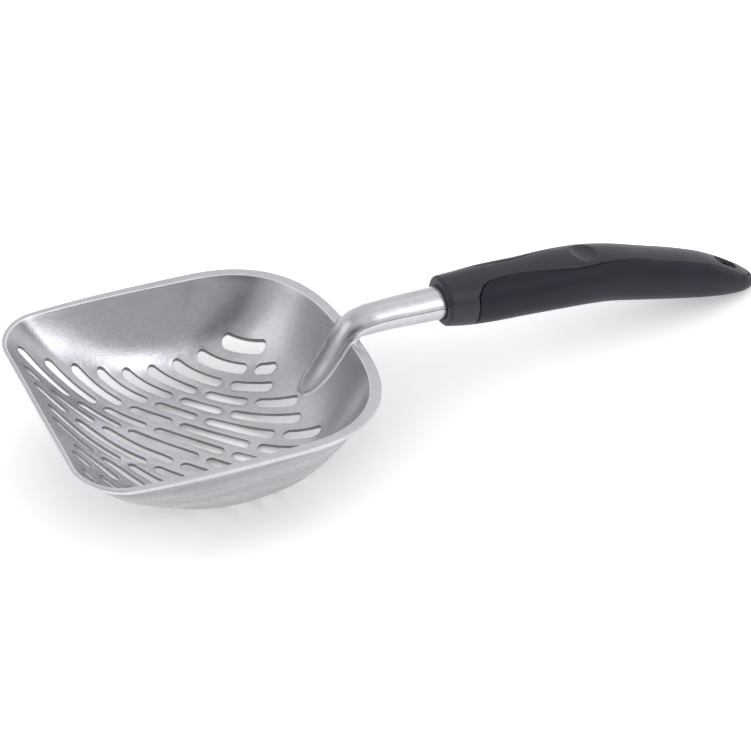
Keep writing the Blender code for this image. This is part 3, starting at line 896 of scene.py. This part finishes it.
def blend_joint(casting, first, second):
    """Round the crease where the shank meets the bowl with a small fillet."""
    width = JOINT_FILLET * MM
    reach = JOINT_REACH * width
    shape = bmesh.new()
    shape.from_mesh(casting.data)

    def near(vert):
        return (signed_distance(first, vert.co, reach)[0] is not None
                and signed_distance(second, vert.co, reach)[0] is not None)

    def long_between(edge, verts):
        return edge.verts[0] in verts and edge.verts[1] in verts and edge.calc_length() > JOINT_EDGE * MM

    for _ in range(JOINT_SPLITS):
        verts = [vert for vert in shape.verts if near(vert)]
        faces = list({face for vert in verts for face in vert.link_faces})
        bmesh.ops.triangulate(shape, faces=faces)
        close = {vert for vert in shape.verts if near(vert)}
        edges = [edge for edge in shape.edges if long_between(edge, close)]
        bmesh.ops.subdivide_edges(shape, edges=edges, cuts=1)
        bmesh.ops.triangulate(shape, faces=[face for face in shape.faces if len(face.verts) > 4])
    joint = [vert for vert in shape.verts if near(vert)]
    places = {vert: vert.co.copy() for vert in joint}
    for settle in range(JOINT_SETTLES):
        if settle:
            bmesh.ops.smooth_vert(
                shape, verts=joint, factor=0.5, use_axis_x=True, use_axis_y=True, use_axis_z=True)
        for vert in joint:
            point = onto_blend(vert.co, first, second, width)
            if (point - places[vert]).length < width:
                vert.co = point
    # Painted highlight on the fillet's faces near the crease, on the shank's front side only
    for face in {face for vert in joint for face in vert.link_faces}:
        middle = face.calc_center_median()
        a, _ = signed_distance(first, middle, reach)
        b, _ = signed_distance(second, middle, reach)
        if a is None or b is None:
            continue
        if abs(a - b) < HIGHLIGHT_SHARE * width and middle.y < -MM:
            face.material_index = PAINTED_HIGHLIGHT_FINISH
    shape.to_mesh(casting.data)
    shape.free()
    casting.data.shade_smooth()


def make_casting():
    casting = mesh_object("casting_fine", *bowl_mesh(Bowl()))
    shank = shank_body()
    trees = (tree_of(casting), tree_of(shank))
    boolean(casting, shank, "UNION")
    blend_joint(casting, *trees)
    boolean(casting, tang_body("tang", 0.0, TANG_START, TANG_END), "UNION")
    return casting


def grip_body(name):
    rings = []
    turn = (np.arange(GRIP_SIDES) + 0.5) * 2.0 * math.pi / GRIP_SIDES
    power = 2.0 / GRIP_SQUARENESS
    across = np.sign(np.cos(turn)) * np.abs(np.cos(turn)) ** power
    lift = np.sign(np.sin(turn)) * np.abs(np.sin(turn)) ** power
    front = GRIP[0][0]
    edge_turn = np.linspace(0.0, 0.5 * math.pi, COLLAR_EDGE_RINGS)
    rounded = front + COLLAR_EDGE * (1.0 - np.cos(edge_turn))
    places = np.concatenate([rounded, np.linspace(*GRIP_BODY_SPAN), np.linspace(*GRIP_TAIL_SPAN)])
    for x in places:
        row = smooth_row(GRIP, x)
        up = section_up(GRIP, x)
        short = max(0.0, COLLAR_EDGE - (x - front))
        inset = COLLAR_EDGE - math.sqrt(COLLAR_EDGE ** 2 - short ** 2)
        ring = np.array([x, 0.0, row[1]]) + up * (row[3] - inset) * lift[:, None]
        lean = max(0.0, 1.0 - (x - front) / COLLAR_LEAN_REACH)
        ring[:, 0] += 0.5 * COLLAR_LEAN * (1.0 - lift) * lean
        ring[:, 1] = (row[2] - inset) * across
        rings.append(ring)
    return ring_body(name, rings)


def upright_ring(x, low, high, wide):
    return np.array([(x, -wide, low), (x, wide, low), (x, wide, high), (x, -wide, high)])


def spine_body(gap):
    """Cutter for the upper shell: the strip along the grip's top and the collar's block, wider by gap."""
    rings = []
    for x in np.linspace(SPINE[0][0], SPINE[-1][0], SPINE_PLACES):
        row = smooth_row(SPINE, x)
        if x == SPINE[-1][0]:
            x += gap
        base = smooth_row(GRIP, x)[1]
        wide = row[1] + gap
        low = base + row[2] - gap
        high = base + SPINE_TOP
        rings.append(upright_ring(x, low, high, wide))
    strip = ring_body("spine", rings)
    rings = [upright_ring(x, *COLLAR_BLOCK) for x in (COLLAR_FRONT, COLLAR_BACK + gap)]
    boolean(strip, ring_body("collar", rings), "UNION")
    return strip


def cut_inner_channels(piece):
    boolean(piece, tang_body("channel", TANG_GAP, *CHANNEL_SPAN), "DIFFERENCE")
    rings = []
    turn = np.arange(SHANK_SIDES) * 2.0 * math.pi / SHANK_SIDES
    for x in SOCKET:
        row = smooth_row(SHANK, min(x, SHANK[-1][0]))
        lift = (row[3] + SOCKET_GAP) * np.sin(turn)
        ring = np.array([x, 0.0, row[1]]) + section_up(SHANK, min(x, SHANK[-1][0])) * lift[:, None]
        ring[:, 1] = (row[2] + SOCKET_GAP) * np.cos(turn)
        rings.append(ring)
    boolean(piece, ring_body("socket", rings), "DIFFERENCE")


def cut_hang_hole(piece):
    half = (HANG_HOLE_LENGTH - HANG_HOLE_WIDTH) / 2.0
    ring = []
    for centre, first in ((half, -0.5 * math.pi), (-half, 0.5 * math.pi)):
        for turn in np.linspace(first, first + math.pi, HANG_HOLE_END_POINTS):
            ring.append((HANG_HOLE_AT + centre + HANG_HOLE_WIDTH / 2.0 * math.cos(turn),
                         HANG_HOLE_WIDTH / 2.0 * math.sin(turn)))
    ring = np.array(ring)
    rings = [np.column_stack([ring, np.full(len(ring), z)]) for z in HANG_HOLE_CUT]
    boolean(piece, ring_body("hang_hole", rings), "DIFFERENCE")


def cut_thumb_rest(piece):
    row = smooth_row(GRIP, THUMB_AT)
    up = section_up(GRIP, THUMB_AT)
    along = np.array([up[2], 0.0, -up[0]])
    centre = np.array([THUMB_AT, 0.0, row[1]]) + up * (row[3] + THUMB_LIFT)
    rings = []
    turn = np.arange(THUMB_SIDES) * 2.0 * math.pi / THUMB_SIDES
    for tilt in np.linspace(-THUMB_LAST_TILT, THUMB_LAST_TILT, THUMB_RINGS):
        tilt = math.radians(tilt)
        ring = (centre + along * (THUMB_HALF_LENGTH * math.cos(tilt) * np.cos(turn))[:, None]
                + up * THUMB_HALF_HEIGHT * math.sin(tilt))
        ring[:, 1] = THUMB_HALF_WIDTH * math.cos(tilt) * np.sin(turn)
        rings.append(ring)
    boolean(piece, ring_body("dish", rings), "DIFFERENCE")


def make_grip_shell():
    shell = grip_body("grip_shell_fine")
    boolean(shell, spine_body(0.0), "INTERSECT")
    cut_inner_channels(shell)
    cut_hang_hole(shell)
    cut_thumb_rest(shell)
    return shell


def make_grip_sleeve():
    sleeve = grip_body("grip_sleeve_fine")
    boolean(sleeve, spine_body(SEAM_GAP), "DIFFERENCE")
    cut_inner_channels(sleeve)
    cut_hang_hole(sleeve)
    return sleeve


# Materials


def new_material(name):
    made = bpy.data.materials.new(name)
    made.use_nodes = True
    tree = made.node_tree
    return made, tree, tree.nodes["Principled BSDF"]


def add(tree, kind, **settings):
    node = tree.nodes.new(kind)
    for key, value in settings.items():
        setattr(node, key, value)
    return node


def noise(tree, vector, scale, detail=4.0, rough=0.55):
    node = add(tree, "ShaderNodeTexNoise")
    node.inputs["Scale"].default_value = scale
    node.inputs["Detail"].default_value = detail
    node.inputs["Roughness"].default_value = rough
    tree.links.new(vector, node.inputs["Vector"])
    return node.outputs["Fac"]


def spread(tree, value, low, high, from_low=0.3, from_high=0.7):
    node = add(tree, "ShaderNodeMapRange")
    node.inputs["From Min"].default_value = from_low
    node.inputs["From Max"].default_value = from_high
    node.inputs["To Min"].default_value = low
    node.inputs["To Max"].default_value = high
    tree.links.new(value, node.inputs["Value"])
    return node.outputs["Result"]


def placed(tree, scale):
    where = add(tree, "ShaderNodeTexCoord")
    node = add(tree, "ShaderNodeMapping")
    node.inputs["Scale"].default_value = scale
    tree.links.new(where.outputs["Object"], node.inputs["Vector"])
    return node.outputs["Vector"]


def mixed(tree, share, first, second):
    node = add(tree, "ShaderNodeMix", data_type="FLOAT")
    node.inputs["Factor"].default_value = share
    tree.links.new(first, node.inputs["A"])
    tree.links.new(second, node.inputs["B"])
    return node.outputs["Result"]


def bump(tree, height, strength, distance, normal=None):
    node = add(tree, "ShaderNodeBump")
    node.inputs["Strength"].default_value = strength
    node.inputs["Distance"].default_value = distance
    tree.links.new(height, node.inputs["Height"])
    if normal is not None:
        tree.links.new(normal, node.inputs["Normal"])
    return node.outputs["Normal"]


def ramp(tree, value, stops):
    node = add(tree, "ShaderNodeValToRGB")
    elements = node.color_ramp.elements
    while len(elements) < len(stops):
        elements.new(0.5)
    for element, (place, colour) in zip(elements, stops):
        element.position = place
        element.color = (*colour, 1.0)
    tree.links.new(value, node.inputs["Fac"])
    return node.outputs["Color"]


def cast_metal(name, dark, pale, rough_low, rough_high, wear, shade_heights=None):
    """Tumbled casting: soft blotches, flecks, fine grain and brushing, long streaks where it is worn, and
    painted shade by height where shade heights are given.
    """
    made, tree, shader = new_material(name)
    even = placed(tree, (1.0, 1.0, 1.0))
    blotches = noise(tree, even, BLOTCH_SCALE, 3.0)
    grain = noise(tree, even, GRAIN_SCALE, 2.0)
    brush = noise(tree, placed(tree, BRUSH_SCALES), 1.0, 3.0)
    streaks = noise(tree, placed(tree, STREAK_SCALES), 1.0, 3.0)
    flecks = noise(tree, placed(tree, FLECK_SCALES), 1.0, 4.0)
    mottled = mixed(tree, FLECK_SHARE, blotches, flecks)
    shade = mixed(tree, wear, mottled, streaks)
    colour = ramp(tree, shade, tuple(zip(METAL_STOPS, (dark, pale))))
    if shade_heights:
        # Painted shade: darker under the rim and near the table
        parts = add(tree, "ShaderNodeSeparateXYZ")
        tree.links.new(even, parts.inputs["Vector"])
        level = spread(tree, parts.outputs["Z"], 0.0, 1.0, 0.0, BODY_HEIGHT)
        both = add(tree, "ShaderNodeMix", data_type="RGBA", blend_type="MULTIPLY")
        both.inputs["Factor"].default_value = 1.0
        first_colour, second_colour = (socket for socket in both.inputs if socket.type == "RGBA")
        tree.links.new(colour, first_colour)
        tree.links.new(ramp(tree, level, tuple((z, (grey,) * 3) for z, grey in shade_heights)), second_colour)
        colour = next(socket for socket in both.outputs if socket.type == "RGBA")
    tree.links.new(colour, shader.inputs["Base Color"])
    shader.inputs["Metallic"].default_value = 1.0
    tree.links.new(spread(tree, brush, rough_low, rough_high), shader.inputs["Roughness"])
    first = bump(tree, grain, *GRAIN_BUMP)
    second = bump(tree, brush, *BRUSH_BUMP, first)
    tree.links.new(bump(tree, blotches, *BLOTCH_BUMP, second), shader.inputs["Normal"])
    return made


def moulded_plastic(name, dark, pale, rough_low, rough_high, shine):
    """Moulded plastic: a fine texture, faint clouds, and edges shaded as if rounded."""
    made, tree, shader = new_material(name)
    even = placed(tree, (1.0, 1.0, 1.0))
    texture = noise(tree, even, TEXTURE_SCALE, 2.0)
    cloud = noise(tree, even, CLOUD_SCALE, 3.0)
    colour = ramp(tree, cloud, tuple(zip(PLASTIC_STOPS, (dark, pale))))
    tree.links.new(colour, shader.inputs["Base Color"])
    tree.links.new(spread(tree, cloud, rough_low, rough_high), shader.inputs["Roughness"])
    shader.inputs["Specular IOR Level"].default_value = shine
    edge = add(tree, "ShaderNodeBevel", samples=PLASTIC_EDGE_SAMPLES)
    edge.inputs["Radius"].default_value = PLASTIC_EDGE
    surface = bump(tree, texture, *TEXTURE_BUMP, edge.outputs["Normal"])
    tree.links.new(surface, shader.inputs["Normal"])
    return made


def paint(obj, *finishes):
    for index, made in enumerate(finishes):
        if index < len(obj.data.materials):
            obj.data.materials[index] = made
        else:
            obj.data.materials.append(made)


# Stage


def make_floor():
    bpy.ops.mesh.primitive_plane_add(size=FLOOR_SIZE, location=(0.0, 0.0, -FLOOR_DROP))
    floor = bpy.context.active_object
    floor.name = "studio_floor"
    made, tree, shader = new_material("studio_floor")
    pattern = noise(tree, placed(tree, (1.0, 1.0, 1.0)), FLOOR_PATTERN, 2.0)
    shades = ((FLOOR_SHADE,) * 3, (FLOOR_SHADE + FLOOR_SHADE_RANGE,) * 3)
    tint = ramp(tree, pattern, tuple(zip(PLASTIC_STOPS, shades)))
    tree.links.new(tint, shader.inputs["Base Color"])
    shader.inputs["Roughness"].default_value = 0.9
    shader.inputs["Specular IOR Level"].default_value = 0.2
    shader.inputs["Emission Color"].default_value = (1.0, 1.0, 1.0, 1.0)
    # Painted shadow: the glow fades under the object, where less studio light reaches the floor
    where = add(tree, "ShaderNodeTexCoord").outputs["Object"]
    pool = add(tree, "ShaderNodeMapping")
    pool.inputs["Location"].default_value = (-POOL_MIDDLE / POOL_LENGTH, 0.0, 0.0)
    pool.inputs["Scale"].default_value = (1.0 / POOL_LENGTH, 1.0 / POOL_WIDTH, 1.0)
    tree.links.new(where, pool.inputs["Vector"])
    away = add(tree, "ShaderNodeVectorMath", operation="LENGTH")
    tree.links.new(pool.outputs["Vector"], away.inputs[0])
    glow = add(tree, "ShaderNodeMapRange", interpolation_type="SMOOTHSTEP")
    glow.inputs["From Min"].default_value = POOL_START
    glow.inputs["From Max"].default_value = 1.0
    glow.inputs["To Min"].default_value = POOL_GLOW
    glow.inputs["To Max"].default_value = FLOOR_GLOW
    tree.links.new(away.outputs["Value"], glow.inputs["Value"])
    tree.links.new(glow.outputs["Result"], shader.inputs["Emission Strength"])
    paint(floor, made)


def studio_glow(tree, direction, bearing, elevation, inner, outer, amount):
    """A soft patch of light or dark round one direction: bearing 0 is the front (-Y), 90 the tail (+X)."""
    turn = math.radians(bearing)
    rise = math.radians(elevation)
    axis = (math.sin(turn) * math.cos(rise), -math.cos(turn) * math.cos(rise), math.sin(rise))
    dot = add(tree, "ShaderNodeVectorMath", operation="DOT_PRODUCT")
    dot.inputs[1].default_value = axis
    tree.links.new(direction, dot.inputs[0])
    patch = add(tree, "ShaderNodeMapRange", interpolation_type="SMOOTHSTEP")
    patch.inputs["From Min"].default_value = math.cos(math.radians(outer))
    patch.inputs["From Max"].default_value = math.cos(math.radians(inner))
    patch.inputs["To Max"].default_value = amount
    tree.links.new(dot.outputs["Value"], patch.inputs["Value"])
    return patch.outputs["Result"]


def make_world():
    """A soft studio all round: an even glow, with soft patches of light and of dark."""
    world = bpy.data.worlds.new("studio")
    bpy.context.scene.world = world
    world.use_nodes = True
    tree = world.node_tree
    back = tree.nodes["Background"]
    back.inputs["Color"].default_value = (*STUDIO_TINT, 1.0)
    direction = add(tree, "ShaderNodeTexCoord").outputs["Generated"]
    total = None
    for patch in STUDIO_PATCHES:
        glow = studio_glow(tree, direction, *patch)
        both = add(tree, "ShaderNodeMath", operation="ADD")
        both.inputs[0].default_value = STUDIO_BASE
        if total is not None:
            tree.links.new(total, both.inputs[0])
        tree.links.new(glow, both.inputs[1])
        total = both.outputs["Value"]
    tree.links.new(total, back.inputs["Strength"])


def make_camera():
    """A long lens in front of the scoop, above it and on the side of its lip."""
    slope = math.atan(CAMERA_SLOPE)
    c = math.cos(slope)
    s = math.sin(slope)

    def scoop(vector):
        x, y, z = vector
        return np.array([x * c + z * s, y, -x * s + z * c])

    bearing = math.radians(CAMERA_BEARING)
    rise = math.radians(CAMERA_ELEVATION)
    right = (math.cos(bearing), math.sin(bearing), 0.0)
    back = (math.sin(bearing) * math.cos(rise), -math.cos(bearing) * math.cos(rise), math.sin(rise))
    up = np.cross(back, right)
    place = Vector(to_world(scoop(CAMERA_PLACE)))
    origin = to_world(np.zeros(3))
    axes = [(to_world(scoop(axis)) - origin) / MM for axis in (right, up, back)]
    turn = Matrix(np.array(axes).T.tolist())
    data = bpy.data.cameras.new("camera")
    data.lens = LENS
    data.sensor_width = SENSOR
    data.clip_start = CLIP_START
    data.dof.use_dof = False
    camera = bpy.data.objects.new("camera", data)
    bpy.context.scene.collection.objects.link(camera)
    camera.matrix_world = Matrix.Translation(place) @ turn.to_4x4()
    bpy.context.scene.camera = camera


def set_levels():
    """Standard colours with the palest greys lifted to white, as on a product picture."""
    view = bpy.context.scene.view_settings
    view.view_transform = "Standard"
    view.use_curve_mapping = True
    combined = view.curve_mapping.curves[3]
    combined.points[1].location = (GREY_TO_WHITE, 1.0)
    combined.points.new(GREY_KEPT, GREY_KEPT)
    view.curve_mapping.update()


def main():
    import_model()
    # In the order of the finishes' material indices
    metal = (
        cast_metal("tumbled_aluminium", *TUMBLED),
        cast_metal("slot_wall_shade_aluminium", *SLOT_WALL_SHADE),
        cast_metal("worn_and_shaded_aluminium", *WORN_AND_SHADED, PAINTED_SHADE_HEIGHTS),
        cast_metal("grime_and_shade_aluminium", *GRIME_AND_SHADE),
        cast_metal("painted_highlight_aluminium", *PAINTED_HIGHLIGHT),
    )
    casting = make_casting()
    shell = make_grip_shell()
    shell_finish = (moulded_plastic("moulded_shell", *SHELL),)
    sleeve = make_grip_sleeve()
    sleeve_finish = (moulded_plastic("moulded_sleeve", *SLEEVE),)
    pieces = (
        (casting, "scoop_casting", "cast_aluminium", metal),
        (shell, "grip_upper_shell", "hard_plastic", shell_finish),
        (sleeve, "grip_lower_sleeve", "soft_plastic", sleeve_finish),
    )
    for obj, node, slot, finishes in pieces:
        paint(obj, *finishes)
        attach(obj, "root")
        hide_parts(node)
    make_floor()
    make_world()
    make_camera()
    set_levels()


main()
